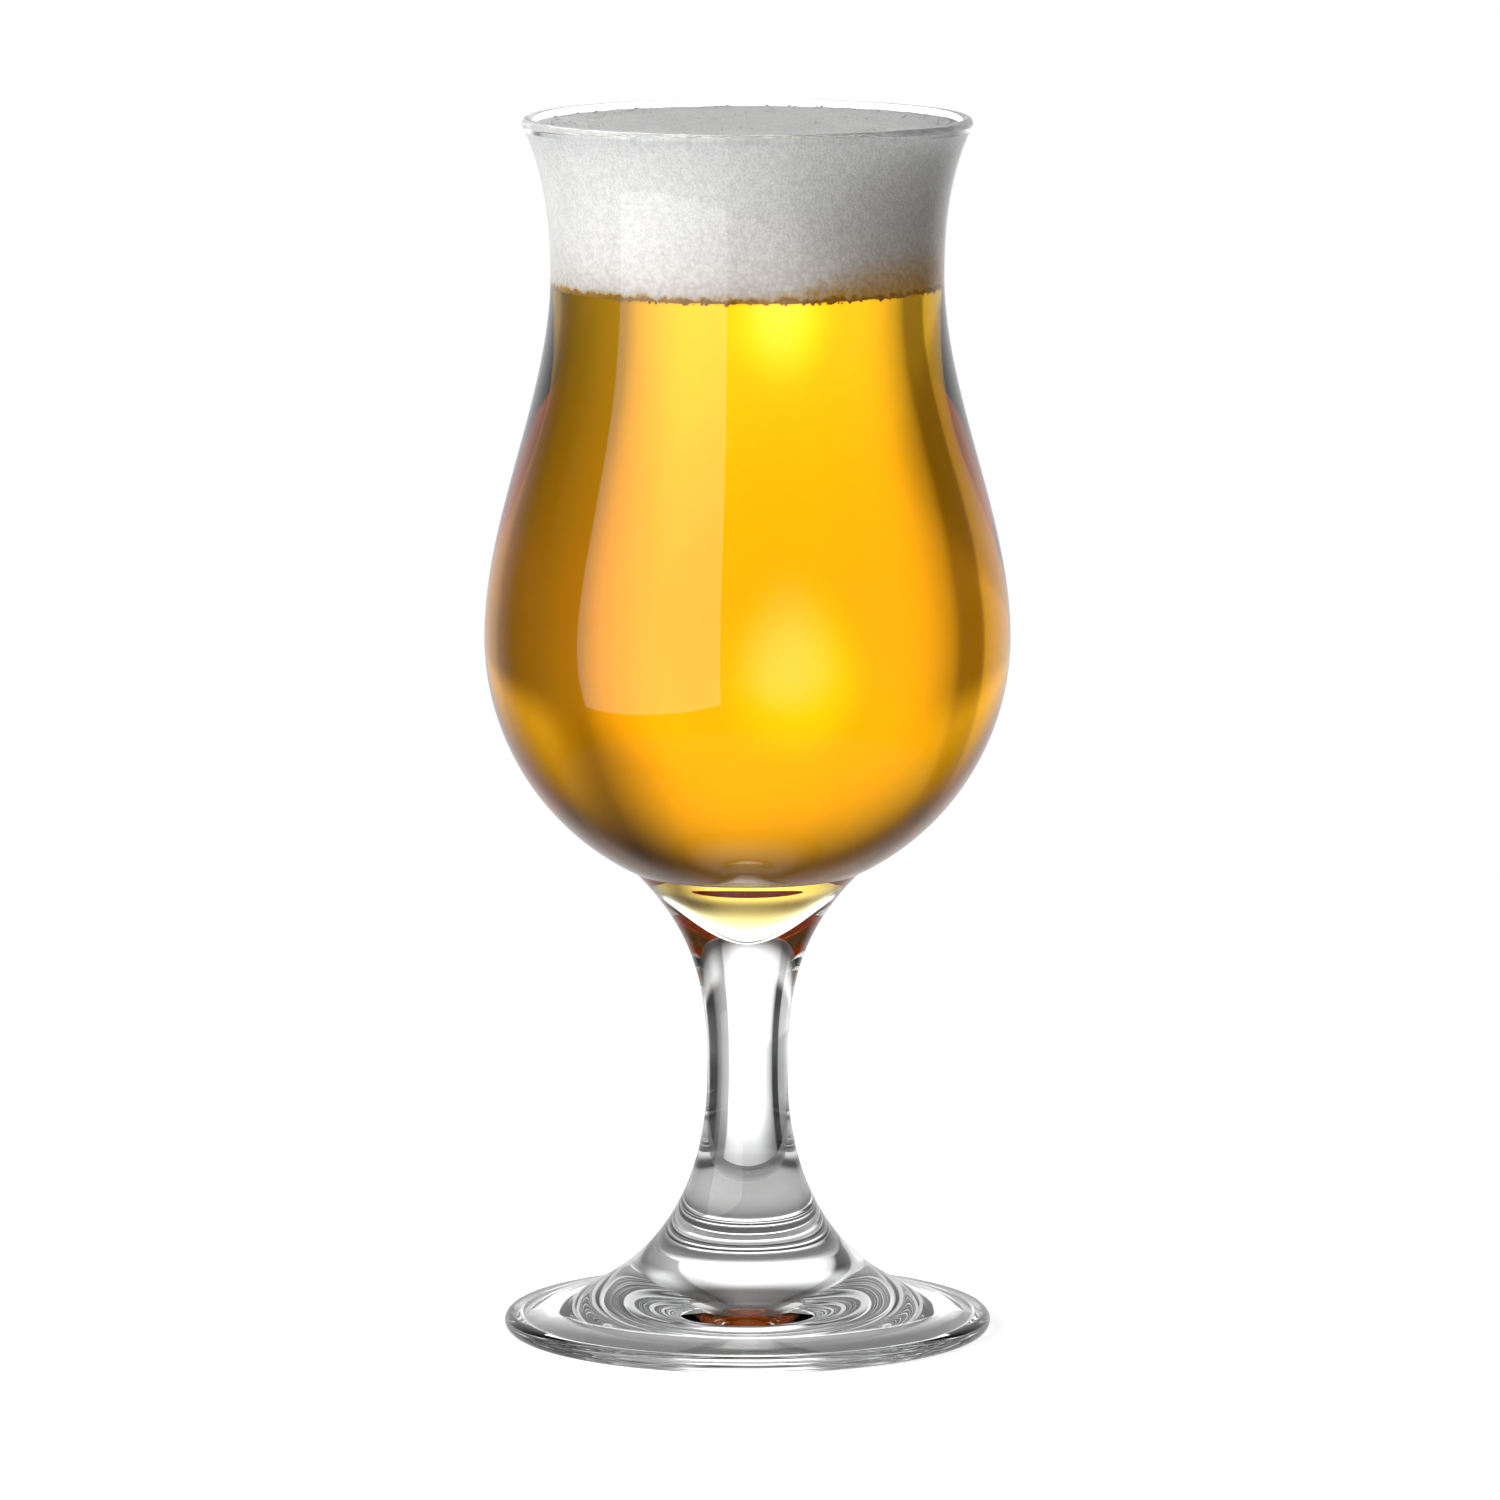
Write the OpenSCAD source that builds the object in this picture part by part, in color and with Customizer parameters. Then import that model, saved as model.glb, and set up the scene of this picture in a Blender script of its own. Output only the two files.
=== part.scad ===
// Tulip beer glass: a blown bowl welded to a drawn stem and a pressed foot, filled with beer and its foam.
// Millimetres, +Z up. The origin is on the axis, at the surface that the foot stands on.

/* [Bowl] */
// Height of the glass, from the table to the top of the rim
glass_h = 190; // [180:0.5:215]
// Outside diameter of the rim
rim_d = 69.6; // [64:0.2:78]
// Thickness of the rounded rim
rim_t = 1.8; // [1.2:0.1:3]
// Angle at which the lip leans out, from upright
lip_angle = 25; // [10:1:35]
// Outside diameter of the waist under the lip
waist_d = 60.9; // [54:0.1:68]
// Height of the lip, from the waist up to the top of the rim
lip_h = 24.3; // [16:0.1:32]
// Outside diameter of the belly
belly_d = 81.7; // [72:0.1:92]
// Height of the belly's widest ring, as a share of the glass's height
belly_height_share = 0.5747; // [0.54:0.001:0.61]
// How far the round bottom would reach below the belly, if it ran on to the axis, as a share of the glass's height
bottom_depth_share = 0.2147; // [0.19:0.001:0.235]
// Thickness of the bowl's wall, from the lip to the belly
wall_t = 1.8; // [1.2:0.1:2.6]
// Thickness of the round bottom, measured upright on the axis
bottom_t = 2.6; // [2:0.1:3.4]
// Diameter of the dimple drawn down in the middle of the floor inside
dimple_d = 30; // [24:1:36]
// Thickness of the glass under the dimple's lowest point
floor_t = 2.9; // [2.2:0.1:3.6]

/* [Stem] */
// Diameter of the weld line where the bowl meets the stem's flared top
weld_d = 35; // [30:0.5:40]
// Depth of the stem's cup below the weld line
cup_depth = 12.4; // [10:0.1:14]
// Slope of the cup at the weld line, from level
cup_angle = 30; // [27:0.5:34]
// Diameter of the stem at its narrowest
stem_d = 12.6; // [9:0.1:16]
// Height of the stem's narrowest ring, as a share of the glass's height
stem_height_share = 0.2158; // [0.19:0.001:0.24]

/* [Foot] */
// Diameter of the foot
foot_d = 76; // [66:0.5:84]
// Thickness of the foot's rounded edge
edge_t = 3; // [2:0.1:4.5]
// Slope of the foot's top where it meets the edge, from level
edge_slope = 7; // [3:0.5:12]
// Height of the weld between the stem and the foot, as a share of the glass's height
foot_weld_height_share = 0.1226; // [0.09:0.001:0.15]
// Width of the flat ring that the foot stands on
rest_w = 1.6; // [1:0.1:4]
// Depth of the hollow under the foot
hollow_depth = 4.8; // [2:0.1:6]

/* [Drink] */
// Depth of the beer's surface below the top of the rim
head_depth = 25.9; // [14:0.1:50]
// Depth of the foam's edge below the top of the rim
headroom = 1.3; // [0.8:0.1:8]
// Rise of the foam's flat middle above its edge
foam_crown = 0.6; // [0.2:0.1:0.8]
// Film between the drink and the glass, so that the drink can turn
drink_gap = 0.3; // [0.1:0.05:0.5]

/* [Quality] */
// Steps along each curve of the outline
curve_steps = 24; // [12:2:48]

/* [Hidden] */
$fn = 128;

// The flared top of the stem is a cubic, and this share of its reach comes from the square term
flare_share = 0.19;
// The stem runs down by this share of the drop to the foot's edge before it turns out,
// and the foot's top runs straight in from the edge by this share of its reach
stem_drop_share = 0.9;
foot_run_share = 0.13;
// How much the dimple narrows towards its lowest point
dimple_power = 4;
// How late the foam's top turns down to its edge
foam_power = 10;
// Room by which a cutting outline passes the solid that it trims
overrun = 5;

rim_r = rim_d / 2;
bead_r = rim_t / 2;
waist_r = waist_d / 2;
belly_r = belly_d / 2;
weld_r = weld_d / 2;
stem_r = stem_d / 2;
foot_r = foot_d / 2;
edge_r = edge_t / 2;
dimple_r = dimple_d / 2;

waist_z = glass_h - lip_h;
belly_z = glass_h * belly_height_share;
bottom_depth = glass_h * bottom_depth_share;
stem_z = glass_h * stem_height_share;
foot_weld_z = glass_h * foot_weld_height_share;
beer_z = glass_h - head_depth;
weld_z = round_bottom_z(weld_r, belly_r, bottom_depth);
cup_z = weld_z - cup_depth;
floor_z = cup_z + floor_t;
dimple_depth = belly_z - bottom_depth + bottom_t - floor_z;
foam_edge_z = glass_h - headroom;

// Points of a curve, given by a function of t from 0 to 1
function along(curve) = [for (i = [0:curve_steps]) curve(i / curve_steps)];

function reversed(points) = [for (i = [len(points) - 1:-1:0]) points[i]];

// Height of the round bottom at radius r: an ellipse hung from the belly
function round_bottom_z(r, half_w, depth) = belly_z - depth * sqrt(1 - pow(r / half_w, 2));

// Points of the round bottom, from radius r up to the belly
function round_bottom(r, half_w, depth) =
    let (start = acos(r / half_w))
    along(function(t)
        let (a = start * (1 - t))
        [half_w * cos(a), belly_z - depth * sin(a)]);

// Points of the swell from the belly up to the waist, upright at both ends
function swell(belly, waist) =
    along(function(t)
        let (s = t * t * (3 - 2 * t))
        [belly + (waist - belly) * s, belly_z + (waist_z - belly_z) * t]);

// Points of the lip from the upright waist to the rim's bead, which it meets at the lip angle
function lip(waist, top) =
    let (
        reach = top[0] - waist,
        rise = top[1] - waist_z,
        lean = rise * tan(lip_angle)
    )
    along(function(t)
        [waist + (3 * reach - lean) * t * t + (lean - 2 * reach) * t * t * t, waist_z + rise * t]);

// Points of the floor inside, from the axis out to the dimple's edge: the round bottom, drawn down in its middle
function dimpled_floor(reach, half_w, depth) =
    along(function(t)
        let (r = reach * t)
        [r, round_bottom_z(r, half_w, depth) - dimple_depth * pow(1 - t * t, dimple_power)]);

// Points of the rim's bead, from the outside over the top to the inside
bead_centre = [rim_r - bead_r, glass_h - bead_r];
function bead_point(a) = bead_centre + bead_r * [cos(a), sin(a)];
bead = along(function(t) bead_point(180 * t - lip_angle));

// Points of the bowl's inside, moved in by inset, from the axis up to the rim
function inside(inset) =
    let (
        half_w = belly_r - wall_t - inset,
        depth = bottom_depth - bottom_t - inset,
        neck = waist_r - wall_t - inset,
        reach = dimple_r - inset,
        brim = bead_point(180 - lip_angle) - [inset, 0]
    )
    concat(
        dimpled_floor(reach, half_w, depth),
        round_bottom(reach, half_w, depth),
        swell(half_w, neck),
        lip(neck, brim)
    );

// Points of the cup where the bowl sits in the stem, from its level middle out to the weld line,
// which it meets at the cup angle
cup_rise = weld_r * tan(cup_angle);
cup_square = 3 * cup_depth - cup_rise;
cup_cube = cup_rise - 2 * cup_depth;
cup = along(function(t) [weld_r * t, cup_z + cup_square * t * t + cup_cube * t * t * t]);

// Points of the stem's flared top, from the weld line down to the narrowest ring
flare = along(function(t)
    let (
        u = 1 - t,
        s = flare_share * u * u + (1 - flare_share) * u * u * u
    )
    [stem_r + (weld_r - stem_r) * s, stem_z + (weld_z - stem_z) * u]);

// Points of the lower stem and the foot's top, one curve down to the foot's round edge
edge_centre = [foot_r - edge_r, edge_r];
edge_start = edge_centre + edge_r * [sin(edge_slope), cos(edge_slope)];
foot_run = foot_run_share * (edge_start[0] - stem_r);
foot_handles = [
    [stem_r, stem_z],
    [stem_r, stem_z - stem_drop_share * (stem_z - edge_start[1])],
    edge_start + foot_run * [-1, tan(edge_slope)],
    edge_start
];
function blended(h, t) =
    let (u = 1 - t)
    u * u * u * h[0] + 3 * u * u * t * h[1] + 3 * u * t * t * h[2] + t * t * t * h[3];
foot_top = along(function(t) blended(foot_handles, t));

// Points of the foot's round edge, from its top to the table
edge = along(function(t)
    let (a = 90 - edge_slope - t * (180 - edge_slope))
    edge_centre + edge_r * [cos(a), sin(a)]);

// Points of the hollow under the foot, from its rim in to the axis
hollow_r = foot_r - edge_r - rest_w;
hollow = along(function(t)
    let (u = 1 - t)
    [hollow_r * u, hollow_depth * (1 - u * u)]);

// Points of the foam's top, from past the wall in to the axis
foam_top = along(function(t)
    let (u = 1 - t)
    [rim_r * u, foam_edge_z + foam_crown * (1 - pow(u, foam_power))]);

module bowl_outline() {
    polygon(concat(
        cup,
        round_bottom(weld_r, belly_r, bottom_depth),
        swell(belly_r, waist_r),
        lip(waist_r, bead_point(-lip_angle)),
        bead,
        reversed(inside(0))
    ));
}

module stem_and_foot_outline() {
    polygon(concat(cup, flare, foot_top, edge, hollow));
}

// The half plane between two heights, from the axis out past the widest ring
module band(low, high) {
    translate([0, low]) square([max(belly_r, foot_r) + overrun, high - low]);
}

module drink_outline() {
    polygon(concat(inside(drink_gap), [[0, glass_h]]));
}

module bowl() {
    color("lightcyan") rotate_extrude() bowl_outline();
}

module stem() {
    color("azure")
        rotate_extrude()
            intersection() {
                stem_and_foot_outline();
                band(foot_weld_z, weld_z + overrun);
            }
}

module foot() {
    color("aliceblue")
        rotate_extrude()
            intersection() {
                stem_and_foot_outline();
                band(-overrun, foot_weld_z);
            }
}

module beer() {
    color("goldenrod")
        rotate_extrude()
            intersection() {
                drink_outline();
                band(0, beer_z);
            }
}

module foam_head() {
    color("ivory")
        rotate_extrude()
            intersection() {
                drink_outline();
                polygon(concat([[0, beer_z], [rim_r, beer_z]], foam_top));
            }
}

bowl();
stem();
foot();
beer();
foam_head();
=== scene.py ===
"""The tulip beer glass, dressed: clear glass, pale beer and a head of foam, in a white studio."""

import math
import random

import bmesh
import bpy
import numpy as np
from mathutils import Matrix, Vector, noise


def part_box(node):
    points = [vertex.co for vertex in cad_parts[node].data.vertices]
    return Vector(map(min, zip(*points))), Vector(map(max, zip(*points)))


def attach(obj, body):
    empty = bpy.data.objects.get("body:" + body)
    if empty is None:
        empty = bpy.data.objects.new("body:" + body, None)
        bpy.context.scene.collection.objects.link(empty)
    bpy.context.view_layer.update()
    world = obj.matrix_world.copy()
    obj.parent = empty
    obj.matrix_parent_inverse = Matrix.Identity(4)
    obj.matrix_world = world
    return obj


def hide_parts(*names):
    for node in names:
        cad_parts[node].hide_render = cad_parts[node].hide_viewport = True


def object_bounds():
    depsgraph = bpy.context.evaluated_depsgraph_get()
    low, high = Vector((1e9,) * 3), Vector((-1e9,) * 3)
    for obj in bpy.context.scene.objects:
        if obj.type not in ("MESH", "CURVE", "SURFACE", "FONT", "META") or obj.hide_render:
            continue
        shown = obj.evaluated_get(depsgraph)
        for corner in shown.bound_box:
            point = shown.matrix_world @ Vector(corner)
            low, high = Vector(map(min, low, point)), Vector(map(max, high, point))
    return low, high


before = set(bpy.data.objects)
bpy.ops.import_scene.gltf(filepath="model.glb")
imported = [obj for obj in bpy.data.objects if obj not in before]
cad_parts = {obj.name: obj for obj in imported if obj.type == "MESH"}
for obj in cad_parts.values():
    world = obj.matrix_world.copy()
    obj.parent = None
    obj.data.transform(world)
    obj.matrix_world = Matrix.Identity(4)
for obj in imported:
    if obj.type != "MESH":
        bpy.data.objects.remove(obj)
cad_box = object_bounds()

MM = 0.001
WHITE = (1, 1, 1, 1)
# Faces around a turned piece, and around one whose bends show more
AROUND = 200
FINE = 340
# Lengths under which points count as on the axis, as one knot of a curve, or as one point of the CAD's mesh
NEAR_AXIS = 1e-5
CLOSE = 2e-5
CELL = 2e-6
# Turns of an outline that make a corner or that are too slight to keep, and the turn of a sharp edge
CORNER = math.radians(13)
STRAIGHT = math.radians(0.06)
SHARP = math.radians(30)
# Points mirrored across the axis, so that a curve crosses it level
MIRRORED = 3

scene = bpy.context.scene
scene.view_settings.view_transform = "Standard"
scene.cycles.max_bounces = 16
scene.cycles.transmission_bounces = 14
scene.cycles.glossy_bounces = 12
scene.cycles.transparent_max_bounces = 32


# Helpers for nodes

def add(tree, kind, inputs=None, **settings):
    """A new node with its settings, and its inputs either linked or set."""
    made = tree.nodes.new(kind)
    for name, value in settings.items():
        setattr(made, name, value)
    for name, value in (inputs or {}).items():
        if isinstance(value, bpy.types.NodeSocket):
            tree.links.new(value, made.inputs[name])
        else:
            made.inputs[name].default_value = value
    return made


def maths(tree, operation, *values):
    """The result of a Math node."""
    return add(tree, "ShaderNodeMath", dict(enumerate(values)), operation=operation).outputs[0]


def ranged(tree, value, low, high, to_low=0.0, to_high=1.0, smooth=True):
    """A value mapped from one range to another, and held at its ends."""
    kind = "SMOOTHSTEP" if smooth else "LINEAR"
    inputs = {"Value": value, "From Min": low, "From Max": high, "To Min": to_low, "To Max": to_high}
    return add(tree, "ShaderNodeMapRange", inputs, interpolation_type=kind).outputs[0]


def new_material(name):
    """An empty node material and its node tree."""
    material = bpy.data.materials.new(name)
    material.use_nodes = True
    material.node_tree.nodes.clear()
    return material, material.node_tree


def surface(tree, shader, volume=None):
    """Connects a shader, and a volume if there is one, to the material's output."""
    output = add(tree, "ShaderNodeOutputMaterial", {"Surface": shader.outputs[0]})
    if volume:
        tree.links.new(volume.outputs[0], output.inputs["Volume"])


def object_place(tree):
    """The place of a surface point in its piece's own frame, whole and as separate coordinates."""
    place = add(tree, "ShaderNodeTexCoord").outputs["Object"]
    return place, add(tree, "ShaderNodeSeparateXYZ", {"Vector": place}).outputs


def distance(tree, place, spot=(0, 0, 0)):
    """The distance of a place from a spot."""
    return add(tree, "ShaderNodeVectorMath", {0: place, 1: spot}, operation="DISTANCE").outputs["Value"]


def mixed(tree, share, first, second):
    """A mix of two shaders, all second where the share is 1."""
    return add(tree, "ShaderNodeMixShader", {0: share, 1: first.outputs[0], 2: second.outputs[0]})


def colour_mix(tree, share, first, second, blend="MIX"):
    """A mix of two colours, all second where the share is 1."""
    inputs = {"Factor": share, 6: first, 7: second}
    return add(tree, "ShaderNodeMix", inputs, data_type="RGBA", blend_type=blend).outputs[2]


def glow(tree, strength, kind="ShaderNodeEmission"):
    """White light of a given strength, from a surface or from the world's background."""
    return add(tree, kind, {"Color": WHITE, "Strength": strength})


# Outlines of the turned solids

def outline_of(node):
    """The (radius, height) points of a turned solid's outline, in order from its start near the axis."""
    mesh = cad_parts[node].data
    found = {}
    keys = []
    for vertex in mesh.vertices:
        point = (math.hypot(vertex.co.x, vertex.co.y), vertex.co.z)
        at = (round(point[0] / CELL), round(point[1] / CELL))
        near = [(at[0] + i, at[1] + j) for i in (-1, 0, 1) for j in (-1, 0, 1)]
        key = next((k for k in near if k in found), at)
        found.setdefault(key, point)
        keys.append(key)
    beside = {}
    for edge in mesh.edges:
        a, b = (keys[i] for i in edge.vertices)
        if a != b:
            beside.setdefault(a, set()).add(b)
            beside.setdefault(b, set()).add(a)
    ends = sorted(k for k in beside if len(beside[k]) == 1)
    walk = [min(ends, key=lambda k: found[k][1])]
    while True:
        onward = [k for k in beside[walk[-1]] if k not in walk[-2:]]
        if not onward:
            break
        walk.append(onward[0])
    return [Vector(found[k]) for k in walk]


def spline(points, parts):
    """Points on the smooth curve through these points, with each step split into parts."""
    line = [tuple(p) for p in points]
    ahead = 0
    behind = 0
    if line[0][0] < NEAR_AXIS:
        ahead = min(MIRRORED, len(line) - 1)
        line = [(-r, z) for r, z in line[ahead:0:-1]] + line
    if line[-1][0] < NEAR_AXIS:
        behind = min(MIRRORED, len(line) - 1)
        line = line + [(-r, z) for r, z in line[-2:-2 - behind:-1]]
    spots = np.array(line)
    gaps = np.linalg.norm(np.diff(spots, axis=0), axis=1)
    count = len(spots)
    system = np.eye(count)
    wanted = np.zeros((count, 2))
    for i in range(1, count - 1):
        system[i, i - 1:i + 2] = gaps[i - 1], 2 * (gaps[i - 1] + gaps[i]), gaps[i]
        wanted[i] = 6 * ((spots[i + 1] - spots[i]) / gaps[i] - (spots[i] - spots[i - 1]) / gaps[i - 1])
    bends = np.linalg.solve(system, wanted)
    made = [Vector(spots[ahead])]
    for i in range(ahead, count - 1 - behind):
        for part in range(1, parts + 1):
            t = part / parts
            u = 1 - t
            bow = ((u ** 3 - u) * bends[i] + (t ** 3 - t) * bends[i + 1]) * gaps[i] ** 2 / 6
            made.append(Vector(u * spots[i] + t * spots[i + 1] + bow))
    return made


def smoothed(points, parts):
    """The outline with each step split into parts, on a curve that is smooth except at its corners."""
    apart = [points[0]]
    for point in points[1:]:
        if (point - apart[-1]).length > CLOSE:
            apart.append(point)
    around_each = zip(apart, apart[1:], apart[2:])
    bent = [b for a, b, c in around_each if (b - a).angle(c - b) > STRAIGHT]
    knots = [apart[0]] + bent + [apart[-1]]
    steps = [b - a for a, b in zip(knots, knots[1:])]
    corners = [i + 1 for i, (a, b) in enumerate(zip(steps, steps[1:])) if a.angle(b) > CORNER]
    made = [knots[0]]
    for first, last in zip([0] + corners, corners + [len(knots) - 1]):
        made.extend(spline(knots[first:last + 1], parts)[1:])
    return made


def held(line):
    """The outline with its heights kept inside the box of the CAD."""
    low = cad_box[0][2]
    high = cad_box[1][2]
    return [Vector((p[0], min(max(p[1], low), high))) for p in line]


def highest_point(line):
    """The place in an outline of its highest point."""
    return max(range(len(line)), key=lambda i: line[i][1])


def cut(line, *places):
    """The outline as runs that share their end points, cut at these places."""
    marks = [0, *places, len(line) - 1]
    return [line[a:b + 1] for a, b in zip(marks, marks[1:])]


def lathe(name, runs, materials, around=AROUND):
    """A closed piece turned from runs of an outline, each given as (points, material number)."""
    line = []
    numbers = []
    for points, number in runs:
        if line and (points[0] - line[-1]).length < NEAR_AXIS:
            points = points[1:]
            numbers.append(number)
        line.extend(points)
        numbers.extend([number] * (len(points) - 1))
    if line[0][0] > NEAR_AXIS:
        line.insert(0, Vector((0, line[0][1])))
        numbers.insert(0, numbers[0])
    if line[-1][0] > NEAR_AXIS:
        line.append(Vector((0, line[-1][1])))
        numbers.append(numbers[-1])
    points = []
    rings = []
    for radius, height in line:
        count = around if radius > NEAR_AXIS else 1
        reach = radius if radius > NEAR_AXIS else 0
        start = len(points)
        for k in range(count):
            a = 2 * math.pi * k / around
            points.append((reach * math.cos(a), reach * math.sin(a), height))
        rings.append([start + k % count for k in range(around + 1)])
    faces = []
    paints = []
    for low, high, number in zip(rings, rings[1:], numbers):
        for k in range(around):
            corners = [low[k], low[k + 1], high[k + 1], high[k]]
            faces.append(list(dict.fromkeys(corners)))
            paints.append(number)
    mesh = bpy.data.meshes.new(name)
    mesh.from_pydata(points, [], faces)
    for material in materials:
        mesh.materials.append(material)
    mesh.polygons.foreach_set("material_index", paints)
    build = bmesh.new()
    build.from_mesh(mesh)
    bmesh.ops.recalc_face_normals(build, faces=build.faces)
    build.to_mesh(mesh)
    build.free()
    mesh.shade_smooth()
    mesh.set_sharp_from_angle(angle=SHARP)
    piece = bpy.data.objects.new(name, mesh)
    scene.collection.objects.link(piece)
    return piece


def dress(piece, node, body):
    """The piece stands for a CAD node, which it hides, and moves with its body."""
    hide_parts(node)
    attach(piece, body)


# Materials

GLASS_WAVES = 70.0
BEER_WAVES = 60.0
FINE_CELLS = 2600.0
COARSE_CELLS = 1300.0
# A range holds where a value starts and ends, and what it is mapped to there
COARSE_RANGE = (0.0, 14 * MM, 0.75, 0.15)
HOLLOW_RANGE = (0.25, 0.8, 1.0, 0.84)
SPECKLE_RANGE = (0.35, 0.65, 0.93, 1.0)
RAGGED = 2.5 * MM
# Wet foam by the beer is tinted amber; the tint reaches higher towards +x, and that taller band is painted
# light, the beer's glow in the foam's shaded side
WET_AND_GLOW_REACH_RANGE = (-2 * MM, 28 * MM, 1.2 * MM, 9 * MM)
WET_AND_GLOW_RANGE = (0.0, 1.0, 0.9, 0.0)
# A painted orange-brown line along the foam's lowest edge, for the light that the meniscus bends and
# reflects
PAINTED_LINE_RANGE = (0.1 * MM, 0.6 * MM, 0.85, 0.0)
OUTER_RANGE = (26 * MM, 28 * MM)
DRY_FOAM = (0.96, 0.955, 0.94, 1)
WET_AND_GLOWING_FOAM = (0.8, 0.55, 0.16, 1)
PAINTED_EDGE_LINE = (0.5, 0.24, 0.02, 1)


def wavy_normal(tree, scale):
    """A surface normal with the faint waviness that moulding and fire polishing leave."""
    place = add(tree, "ShaderNodeTexCoord").outputs["Object"]
    wave = add(tree, "ShaderNodeTexNoise", {"Vector": place, "Scale": scale, "Detail": 1.0})
    bump = add(tree, "ShaderNodeBump", {"Height": wave.outputs["Fac"], "Strength": 0.02, "Distance": 0.002})
    return bump.outputs[0]


def glass_material():
    """Clear pressed glass, a little wavy."""
    material, tree = new_material("clear_glass")
    shader = add(tree, "ShaderNodeBsdfPrincipled", {
        "Base Color": (0.985, 0.992, 0.99, 1),
        "Roughness": 0.0,
        "IOR": 1.52,
        "Transmission Weight": 1.0,
        "Normal": wavy_normal(tree, GLASS_WAVES),
    })
    surface(tree, shader)
    return material


def joined_material():
    """A face that light crosses unchanged: fused glass, or glass wetted by the drink."""
    material, tree = new_material("joined_face")
    surface(tree, add(tree, "ShaderNodeBsdfTransparent"))
    return material


def beer_material():
    """Clear golden beer, whose side bends light as beer against glass does."""
    material, tree = new_material("pale_beer")
    shader = add(tree, "ShaderNodeBsdfGlass", {
        "Color": WHITE,
        "Roughness": 0.0,
        "IOR": 0.88,
        "Normal": wavy_normal(tree, BEER_WAVES),
    })
    depth = add(tree, "ShaderNodeVolumeAbsorption", {"Color": (0.958, 0.81, 0.0, 1), "Density": 95.0})
    surface(tree, shader, depth)
    return material


def foam_material():
    """White froth of small bubbles, coarser down by the beer and tinted amber there where it is wet; the
    amber reaches higher on one side as painted light for the beer's glow in the shaded foam, and a painted
    orange-brown line marks the beer's edge.
    """
    material, tree = new_material("beer_foam")
    place, xyz = object_place(tree)
    rise = maths(tree, "SUBTRACT", xyz["Z"], beer_top)
    fine = add(tree, "ShaderNodeTexVoronoi", {"Vector": place, "Scale": FINE_CELLS})
    coarse = add(tree, "ShaderNodeTexVoronoi", {"Vector": place, "Scale": COARSE_CELLS})
    broad = add(tree, "ShaderNodeTexNoise", {"Vector": place, "Scale": 160.0, "Detail": 5.0})
    patches = add(tree, "ShaderNodeTexNoise", {"Vector": place, "Scale": 700.0, "Detail": 3.0})
    big = ranged(tree, rise, *COARSE_RANGE)
    cells = add(tree, "ShaderNodeMix", {0: big, 2: fine.outputs["Distance"], 3: coarse.outputs["Distance"]})
    height = maths(tree, "MULTIPLY_ADD", broad.outputs["Fac"], 0.8, cells.outputs[0])
    bump = add(tree, "ShaderNodeBump", {"Height": height, "Strength": 0.7, "Distance": 0.0003})
    hollows = ranged(tree, cells.outputs[0], *HOLLOW_RANGE)
    speckle = ranged(tree, patches.outputs["Fac"], *SPECKLE_RANGE)
    grain = maths(tree, "MULTIPLY", hollows, speckle)
    ragged = maths(tree, "MULTIPLY_ADD", maths(tree, "SUBTRACT", patches.outputs["Fac"], 0.5), RAGGED, rise)
    squares = [maths(tree, "POWER", xyz[axis], 2.0) for axis in "XY"]
    across = maths(tree, "POWER", maths(tree, "ADD", *squares), 0.5)
    outer = ranged(tree, across, *OUTER_RANGE)
    # Painted light: the amber band is taller towards +x, for the beer's glow in the shaded side of the foam
    reach = ranged(tree, xyz["X"], *WET_AND_GLOW_REACH_RANGE)
    wet_and_glow = ranged(tree, maths(tree, "DIVIDE", ragged, reach), *WET_AND_GLOW_RANGE)
    tint = colour_mix(tree, maths(tree, "MULTIPLY", outer, wet_and_glow), DRY_FOAM, WET_AND_GLOWING_FOAM)
    # Painted reflection: an orange-brown line at the beer's edge, for the light bent and reflected at the
    # meniscus
    edge = maths(tree, "MULTIPLY", outer, ranged(tree, ragged, *PAINTED_LINE_RANGE))
    tint = colour_mix(tree, edge, tint, PAINTED_EDGE_LINE)
    shader = add(tree, "ShaderNodeBsdfPrincipled", {
        "Base Color": colour_mix(tree, 1.0, tint, grain, "MULTIPLY"),
        "Roughness": 0.6,
        "Specular IOR Level": 0.0,
        "Subsurface Weight": 1.0,
        "Subsurface Radius": (1, 1, 1),
        "Subsurface Scale": 15 * MM,
        "Normal": bump.outputs[0],
    })
    surface(tree, shader)
    return material


# The glass and the drink

FOAM_CROWN = 0.6 * MM
# Numbers of a glass piece's two materials
GLASS = 0
JOINED = 1

beer_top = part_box("beer")[1].z
foam_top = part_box("foam_head")[1].z
foam_edge = foam_top - FOAM_CROWN
weld_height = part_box("stem")[1].z
foot_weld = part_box("foot")[1].z

clear_glass = glass_material()
joined_face = joined_material()
pale_beer = beer_material()
beer_foam = foam_material()
glass_finish = [clear_glass, joined_face]

bowl_line = held(smoothed(outline_of("bowl"), 2))
rim = highest_point(bowl_line)
weld = min(range(rim), key=lambda i: abs(bowl_line[i][1] - weld_height))
wetted = next(i for i in range(rim, len(bowl_line)) if bowl_line[i][1] < foam_edge)
seat, outside, inside = cut(bowl_line, weld, wetted)
bowl = lathe("glass_bowl", [(seat, JOINED), (outside, GLASS), (inside, JOINED)], glass_finish)
dress(bowl, "bowl", "glass")

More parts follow.
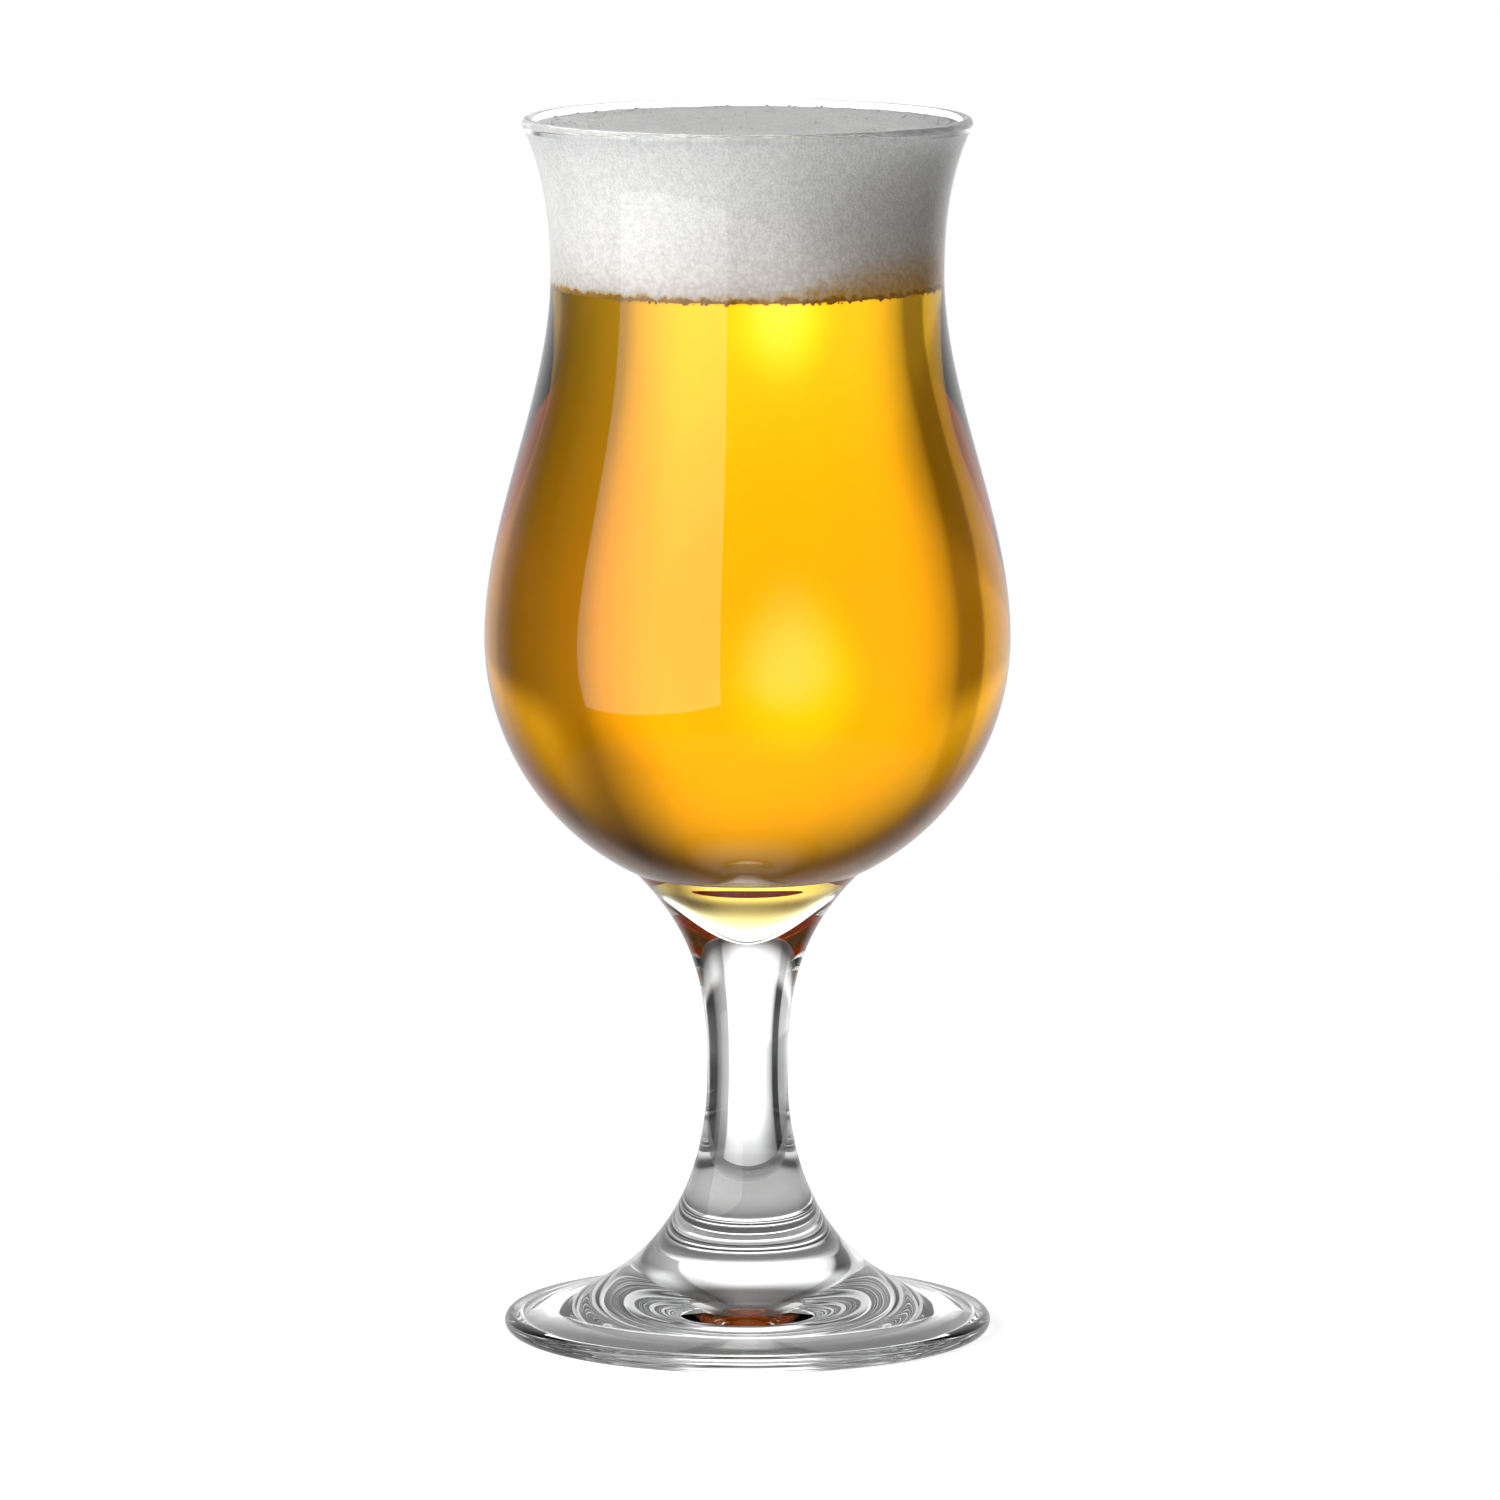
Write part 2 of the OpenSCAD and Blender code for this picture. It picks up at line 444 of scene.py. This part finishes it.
stem_line = outline_of("stem")
flare, cup = cut(stem_line, highest_point(stem_line))
foot_line = outline_of("foot")
if foot_line[0][1] < foot_weld - NEAR_AXIS:
    foot_line.reverse()
side = held(smoothed(flare[:0:-1] + foot_line[1:], 4))
parting = next(i for i, point in enumerate(side) if point[1] < foot_weld)
above = side[parting - 1]
below = side[parting]
seam = above.lerp(below, (above[1] - foot_weld) / (above[1] - below[1]))
flat_end = [Vector((0, foot_weld)), seam]
stem_runs = [(flat_end, JOINED), ([seam] + side[parting - 1::-1], GLASS), (smoothed(cup, 2), JOINED)]
stem = lathe("glass_stem", stem_runs, glass_finish, FINE)
dress(stem, "stem", "glass")
foot_runs = [(flat_end, JOINED), ([seam] + side[parting:], GLASS)]
foot = lathe("glass_foot", foot_runs, glass_finish, FINE)
dress(foot, "foot", "glass")

beer = lathe("beer_body", [(smoothed(outline_of("beer"), 2), 0)], [pale_beer])
dress(beer, "beer", "drink")

# How far the foam presses out to the wall and down into the beer, and how uneven its edge and top are
FROTH_OUT = 0.12 * MM
FROTH_DOWN = 0.15 * MM
FROTH_SIDE = 20 * MM
EDGE_LUMP = 0.16 * MM
EDGE_LUMPS = 900
TOP_LUMP = 0.1 * MM
TOP_LUMPS = 300
TOP_GRAIN = 0.06 * MM
TOP_GRAINS = 1100
# Counts of the loose bubbles and where they lie, with their sizes and depths in millimetres
EDGE_BUBBLES = 420
EDGE_SIZES = (0.1, 0.34)
EDGE_DEPTHS = (0.05, 0.5)
EDGE_STAND = 0.08 * MM
WALL_BUBBLES = 520
WALL_SIZES = (0.1, 0.3)
WALL_HEIGHT = 20 * MM
WALL_STAND = 0.1 * MM
TOP_BUBBLES = 300
TOP_SIZES = (0.15, 0.5)
TOP_REACH = 31.5 * MM
TOP_SINK = 0.6


def froth_line():
    """The foam's outline, pressed against the wall and dipped into the beer."""
    line = []
    for radius, height in smoothed(outline_of("foam_head"), 2):
        out = FROTH_OUT if radius > NEAR_AXIS else 0.0
        down = FROTH_DOWN if height < beer_top + NEAR_AXIS else 0.0
        line.append(Vector((radius + out, height - down)))
    return line


def roughen(piece):
    """Gives the foam a ragged lower edge and a lumpy top."""
    for vertex in piece.data.vertices:
        spot = vertex.co
        if spot.z < beer_top and math.hypot(spot.x, spot.y) > FROTH_SIDE:
            spot.z -= EDGE_LUMP * (1 + noise.noise(spot * EDGE_LUMPS))
        if spot.z > foam_edge:
            spot.z += TOP_LUMP * noise.noise(spot * TOP_LUMPS) + TOP_GRAIN * noise.noise(spot * TOP_GRAINS)


def wall_radius(line, height):
    """The radius of the foam's side at a height."""
    side_points = [p for p in line if p[0] > FROTH_SIDE and p[1] < foam_edge]
    return min(side_points, key=lambda p: abs(p[1] - height))[0]


def froth_bubbles(line):
    """Loose bubbles along the beer's edge, against the wall and on the foam's top, as one piece."""
    dice = random.Random(7)
    build = bmesh.new()

    def bubble(size, radius, height):
        """One bubble, at a random turn about the axis."""
        turn = dice.uniform(0, 2 * math.pi)
        spot = Vector((radius * math.cos(turn), radius * math.sin(turn), height))
        bmesh.ops.create_icosphere(build, subdivisions=1, radius=size, matrix=Matrix.Translation(spot))

    for _ in range(EDGE_BUBBLES):
        size = dice.uniform(*EDGE_SIZES) * MM
        height = beer_top - dice.uniform(*EDGE_DEPTHS) * MM
        bubble(size, wall_radius(line, beer_top) - size + EDGE_STAND, height)
    for _ in range(WALL_BUBBLES):
        size = dice.uniform(*WALL_SIZES) * MM
        height = beer_top + WALL_HEIGHT * dice.random() ** 2
        bubble(size, wall_radius(line, height) - size + WALL_STAND, height)
    for _ in range(TOP_BUBBLES):
        size = dice.uniform(*TOP_SIZES) * MM
        bubble(size, TOP_REACH * math.sqrt(dice.random()), foam_top - TOP_SINK * size)
    mesh = bpy.data.meshes.new("foam_bubbles")
    build.to_mesh(mesh)
    build.free()
    mesh.materials.append(beer_foam)
    mesh.shade_smooth()
    piece = bpy.data.objects.new("foam_bubbles", mesh)
    scene.collection.objects.link(piece)
    return piece


froth = froth_line()
foam = lathe("foam_body", [(froth, 0)], [beer_foam], FINE)
roughen(foam)
dress(foam, "foam_head", "drink")
bubbles = froth_bubbles(froth)
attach(bubbles, "drink")


# The studio

# Strengths count plain white as 1
SOFT_LIGHT = 0.07
KEY_LIGHT = 9.5
BACK_LIGHT = 2.0
PANEL_HALF_HEIGHT = 0.5
# The world, by the heading of a ray
SKY_RANGE = (0.15, 0.55, 1.0, 0.1)
FRONT_RANGE = (-0.2, 0.4, 0.8, 1.0)
MIRRORED_BACK_RANGE = (0.5, 0.95, 0.006, 0.75)
MIRRORED_TABLE_RANGE = (-0.62, -0.54, 0.12, 0.0)
FRONT_LAMP = (0.309, -0.945, -0.11)
FRONT_LAMP_RANGE = (0.08, 0.45, 1.4, 0.0)
# The glow card behind the glass. A bearing is x over y, and lights are set for the photograph's view
CARD_BACK = 0.4
CARD_HALF_WIDTH = 1.2
CARD_HEIGHT = 0.7
APRON_FRONT = 0.042
APRON_RISE = 0.1 * MM
CARD_REACH = 2.5
CARD_PEAK = 2.5
STEM_LIGHT = (
    (-2.5, 1.0), (-1.2, 0.6), (-0.95, 0.55), (-0.79, 0.5), (-0.74, 0.06), (-0.53, 0.06), (-0.475, 0.65),
    (-0.43, 0.85), (-0.325, 1.35), (-0.225, 1.75), (-0.125, 2.05), (-0.05, 2.15), (0.15, 2.35), (0.31, 1.9),
    (0.35, 0.56), (0.50, 0.39), (0.65, 0.25), (0.78, 0.06), (1.7, 0.05), (1.85, 0.35), (2.5, 1.0),
)
BEER_LIGHT = (
    (-2.5, 1.0), (-1.2, 0.8), (-0.95, 0.8), (-0.79, 0.75), (-0.74, 0.32), (-0.53, 0.3), (-0.475, 0.65),
    (-0.43, 0.85), (-0.325, 1.35), (-0.225, 1.8), (-0.125, 2.1), (-0.05, 2.15), (0.13, 2.3), (0.21, 1.7),
    (0.27, 1.2), (0.32, 0.62), (0.50, 0.4), (0.65, 0.32), (0.78, 0.25), (1.0, 0.22), (1.15, 0.45),
    (2.5, 1.0),
)
# More surfaces are crossed on the way through the beer than through the stem
DEEP = 2.5
LAMP_PLACE = (-0.031, CARD_BACK, 0.085)
LAMP_RANGE = (0.012, 0.06, 0.9, 0.0)
NEAR_RANGE = (0.03, 0.14, 0.25, 1.0)
LEFT_RANGE = (-0.35, -0.15, 1.0, 0.0)
LEFT_DEPTH_RANGE = (0.3, CARD_BACK, -0.18, 0.22)
HIGH_RANGE = (0.1, 0.16)
DIM_START = (0.0, 0.3)
DIM_END = (0.36, 0.6)
DIM_CHANGE = -0.4
ASIDE_RANGE = (0.25, 0.55, 0.0, 0.75)
TOP_RANGE = (0.11, 0.34, 1.0, 0.1)
# The floor
FLOOR_HALF = 6
FLOOR_DROP = 0.05 * MM
FLOOR_RANGE = (0.1, 0.5, 1.0, 0.0)
FLOOR_COLOUR = 0.85
# Seen through the glass the floor is painted grey, a painted shade, and close under the foot a painted glow
# lifts it
THROUGH_SHADE_CHANGE = -0.63
BEHIND_RANGE = (-30 * MM, 0.0)
BEHIND_CHANGE = -0.02
FLOOR_LIFT = 0.72
UNDER_FOOT_LIGHT_RANGE = (12 * MM, 34 * MM, 0.45, 0.03)
# The camera
CAMERA_PLACE = (0.0004, -1.698, 0.330)
CAMERA_TILT = math.radians(82.0)
LENS = 264.7
SENSOR = 36
FARTHEST = 50


def first_look(tree):
    """1 for what is seen directly, in a mirror or through glass, and 0 for light on matt surfaces."""
    return maths(tree, "LESS_THAN", add(tree, "ShaderNodeLightPath").outputs["Diffuse Depth"], 0.5)


def studio_world():
    """White to the camera and bright through glass, dimmer in mirrors, and soft light all round."""
    world = bpy.data.worlds.new("studio")
    scene.world = world
    world.use_nodes = True
    tree = world.node_tree
    tree.nodes.clear()
    heading = add(tree, "ShaderNodeTexCoord").outputs["Generated"]
    xyz = add(tree, "ShaderNodeSeparateXYZ", {"Vector": heading}).outputs
    sky = ranged(tree, xyz["Z"], *SKY_RANGE)
    sky = maths(tree, "MULTIPLY", sky, ranged(tree, xyz["Y"], *FRONT_RANGE))
    back = ranged(tree, xyz["Y"], *MIRRORED_BACK_RANGE)
    back = maths(tree, "ADD", back, ranged(tree, xyz["Z"], *MIRRORED_TABLE_RANGE))
    lamp = ranged(tree, distance(tree, heading, FRONT_LAMP), *FRONT_LAMP_RANGE)
    back = maths(tree, "ADD", back, lamp)
    behind, mirrored, soft, white = (
        glow(tree, strength, "ShaderNodeBackground") for strength in (sky, back, SOFT_LIGHT, 1.0)
    )
    path = add(tree, "ShaderNodeLightPath").outputs
    shown = mixed(tree, path["Is Glossy Ray"], soft, mirrored)
    shown = mixed(tree, path["Is Transmission Ray"], shown, behind)
    shown = mixed(tree, first_look(tree), soft, shown)
    shown = mixed(tree, path["Is Camera Ray"], shown, white)
    add(tree, "ShaderNodeOutputWorld", {"Surface": shown.outputs[0]})


def flat_panel(name, corners, material):
    """A flat piece of the studio."""
    mesh = bpy.data.meshes.new(name)
    mesh.from_pydata(corners, [], [(0, 1, 2, 3)])
    mesh.materials.append(material)
    panel = bpy.data.objects.new(name, mesh)
    scene.collection.objects.link(panel)
    return panel


def fan(tree, bearing, lights):
    """Light that changes with the bearing across the backdrop, from a list of (bearing, light)."""
    share = ranged(tree, bearing, -CARD_REACH, CARD_REACH, smooth=False)
    ramp = add(tree, "ShaderNodeValToRGB", {"Fac": share})
    elements = ramp.color_ramp.elements
    while len(elements) < len(lights):
        elements.new(0.5)
    for element, (across, light) in zip(elements, lights):
        element.position = (across / CARD_REACH + 1) / 2
        element.color = (light / CARD_PEAK, light / CARD_PEAK, light / CARD_PEAK, 1)
    return maths(tree, "MULTIPLY", ramp.outputs["Color"], CARD_PEAK)


def card_material(name):
    """A bright backdrop with a flag on each side, darker for the clear stem, and with a lamp in it."""
    material, tree = new_material(name)
    place, xyz = object_place(tree)
    bearing = maths(tree, "DIVIDE", xyz["X"], xyz["Y"])
    crossed = add(tree, "ShaderNodeLightPath").outputs["Transmission Depth"]
    deep = maths(tree, "GREATER_THAN", crossed, DEEP)
    lights = {0: deep, 2: fan(tree, bearing, STEM_LIGHT), 3: fan(tree, bearing, BEER_LIGHT)}
    light = add(tree, "ShaderNodeMix", lights).outputs[0]
    light = maths(tree, "ADD", light, ranged(tree, distance(tree, place, LAMP_PLACE), *LAMP_RANGE))
    light = maths(tree, "MULTIPLY", light, ranged(tree, distance(tree, place), *NEAR_RANGE))
    left = ranged(tree, bearing, *LEFT_RANGE)
    left_change = ranged(tree, xyz["Y"], *LEFT_DEPTH_RANGE)
    light = maths(tree, "MULTIPLY", light, maths(tree, "MULTIPLY_ADD", left, left_change, 1.0))
    high = ranged(tree, xyz["Z"], *HIGH_RANGE)
    dim = maths(tree, "SUBTRACT", ranged(tree, bearing, *DIM_START), ranged(tree, bearing, *DIM_END))
    dim = maths(tree, "MULTIPLY_ADD", maths(tree, "MULTIPLY", high, dim), DIM_CHANGE, 1.0)
    light = maths(tree, "MULTIPLY", light, dim)
    aside = ranged(tree, maths(tree, "ABSOLUTE", bearing), *ASIDE_RANGE)
    light = maths(tree, "MULTIPLY_ADD", high, aside, light)
    light = maths(tree, "MULTIPLY", light, ranged(tree, xyz["Z"], *TOP_RANGE))
    surface(tree, glow(tree, light))
    return material


def glow_card():
    """A bright backdrop behind the glass, and its light on the table, which only the glass shows."""
    material = card_material("glow_card")
    half = CARD_HALF_WIDTH
    upright = flat_panel("glow_card", [
        (-half, CARD_BACK, 0), (half, CARD_BACK, 0),
        (half, CARD_BACK, CARD_HEIGHT), (-half, CARD_BACK, CARD_HEIGHT),
    ], material)
    lying = flat_panel("glow_apron", [
        (-half, APRON_FRONT, APRON_RISE), (half, APRON_FRONT, APRON_RISE),
        (half, CARD_BACK, APRON_RISE), (-half, CARD_BACK, APRON_RISE),
    ], material)
    for card in (upright, lying):
        card.visible_camera = False
        card.visible_diffuse = False
        card.visible_glossy = False
        card.visible_shadow = False


def floor_and_backdrop():
    """A plain white floor that keeps the glass's shadow, and turns plain white away from it. Seen through
    the glass it is painted grey, a painted shade, with painted light close under the foot.
    """
    material, tree = new_material("white_floor")
    place, xyz = object_place(tree)
    away = distance(tree, place)
    near = ranged(tree, away, *FLOOR_RANGE)
    path = add(tree, "ShaderNodeLightPath").outputs
    through = maths(tree, "MULTIPLY", path["Is Transmission Ray"], first_look(tree))
    seen = maths(tree, "MAXIMUM", path["Is Camera Ray"], through)
    behind = ranged(tree, xyz["Y"], *BEHIND_RANGE)
    change = maths(tree, "MULTIPLY_ADD", behind, BEHIND_CHANGE, THROUGH_SHADE_CHANGE)
    shade = maths(tree, "MULTIPLY_ADD", through, change, FLOOR_COLOUR)
    matt = add(tree, "ShaderNodeBsdfDiffuse", {"Color": shade})
    lift = maths(tree, "MULTIPLY", path["Is Camera Ray"], FLOOR_LIFT)
    # Painted light: a glow on the floor close under the foot, seen through the glass
    lift = maths(tree, "MULTIPLY_ADD", through, ranged(tree, away, *UNDER_FOOT_LIGHT_RANGE), lift)
    close = add(tree, "ShaderNodeAddShader", {0: matt.outputs[0], 1: glow(tree, lift).outputs[0]})
    fade = maths(tree, "MULTIPLY", seen, maths(tree, "SUBTRACT", 1.0, near))
    surface(tree, mixed(tree, fade, close, glow(tree, 1.0)))
    half = FLOOR_HALF
    corners = [(-half, -half, 0), (half, -half, 0), (half, half, 0), (-half, half, 0)]
    floor = flat_panel("floor", corners, material)
    floor.location.z = -FLOOR_DROP
    floor.visible_glossy = False


def softbox(name, place, aim, width, height, radiance):
    """A soft rectangular lamp of a given brightness, seen in reflections only."""
    lamp = bpy.data.lights.new(name, "AREA")
    lamp.shape = "RECTANGLE"
    lamp.size = width
    lamp.size_y = height
    lamp.energy = radiance * 4 * width * height
    holder = bpy.data.objects.new(name, lamp)
    scene.collection.objects.link(holder)
    holder.location = place
    holder.rotation_euler = (Vector(aim) - Vector(place)).to_track_quat("-Z", "Y").to_euler()
    holder.visible_camera = False
    holder.visible_transmission = False


def lit_panel(name, centre, across, light):
    """A tall bright panel that lights the matt surfaces, and that a look through the glass doesn't show."""
    material, tree = new_material(name)
    clear = add(tree, "ShaderNodeBsdfTransparent")
    surface(tree, mixed(tree, first_look(tree), glow(tree, light), clear))
    material.cycles.emission_sampling = "NONE"
    centre = Vector(centre)
    across = Vector(across)
    up = Vector((0, 0, PANEL_HALF_HEIGHT))
    corners = [centre - across - up, centre + across - up, centre + across + up, centre - across + up]
    panel = flat_panel(name, corners, material)
    panel.visible_camera = False
    panel.visible_glossy = False
    panel.visible_shadow = False


def camera():
    """The photograph's view: a long lens, a little above the glass."""
    data = bpy.data.cameras.new("camera")
    data.sensor_width = SENSOR
    data.lens = LENS
    data.clip_end = FARTHEST
    holder = bpy.data.objects.new("camera", data)
    scene.collection.objects.link(holder)
    holder.location = CAMERA_PLACE
    holder.rotation_euler = (CAMERA_TILT, 0, 0)
    scene.camera = holder


studio_world()
floor_and_backdrop()
glow_card()
softbox("left_softbox", place=(-0.75, -0.75, 0.265), aim=(0, 0, 0.265), width=1.4, height=1.35, radiance=1.3)
lit_panel("key_panel", centre=(-1.0, -0.85, 0.5), across=(0.403, -0.471, 0), light=KEY_LIGHT)
lit_panel("back_panel", centre=(0.25, 1.3, 0.5), across=(0.6, -0.1, 0), light=BACK_LIGHT)
camera()
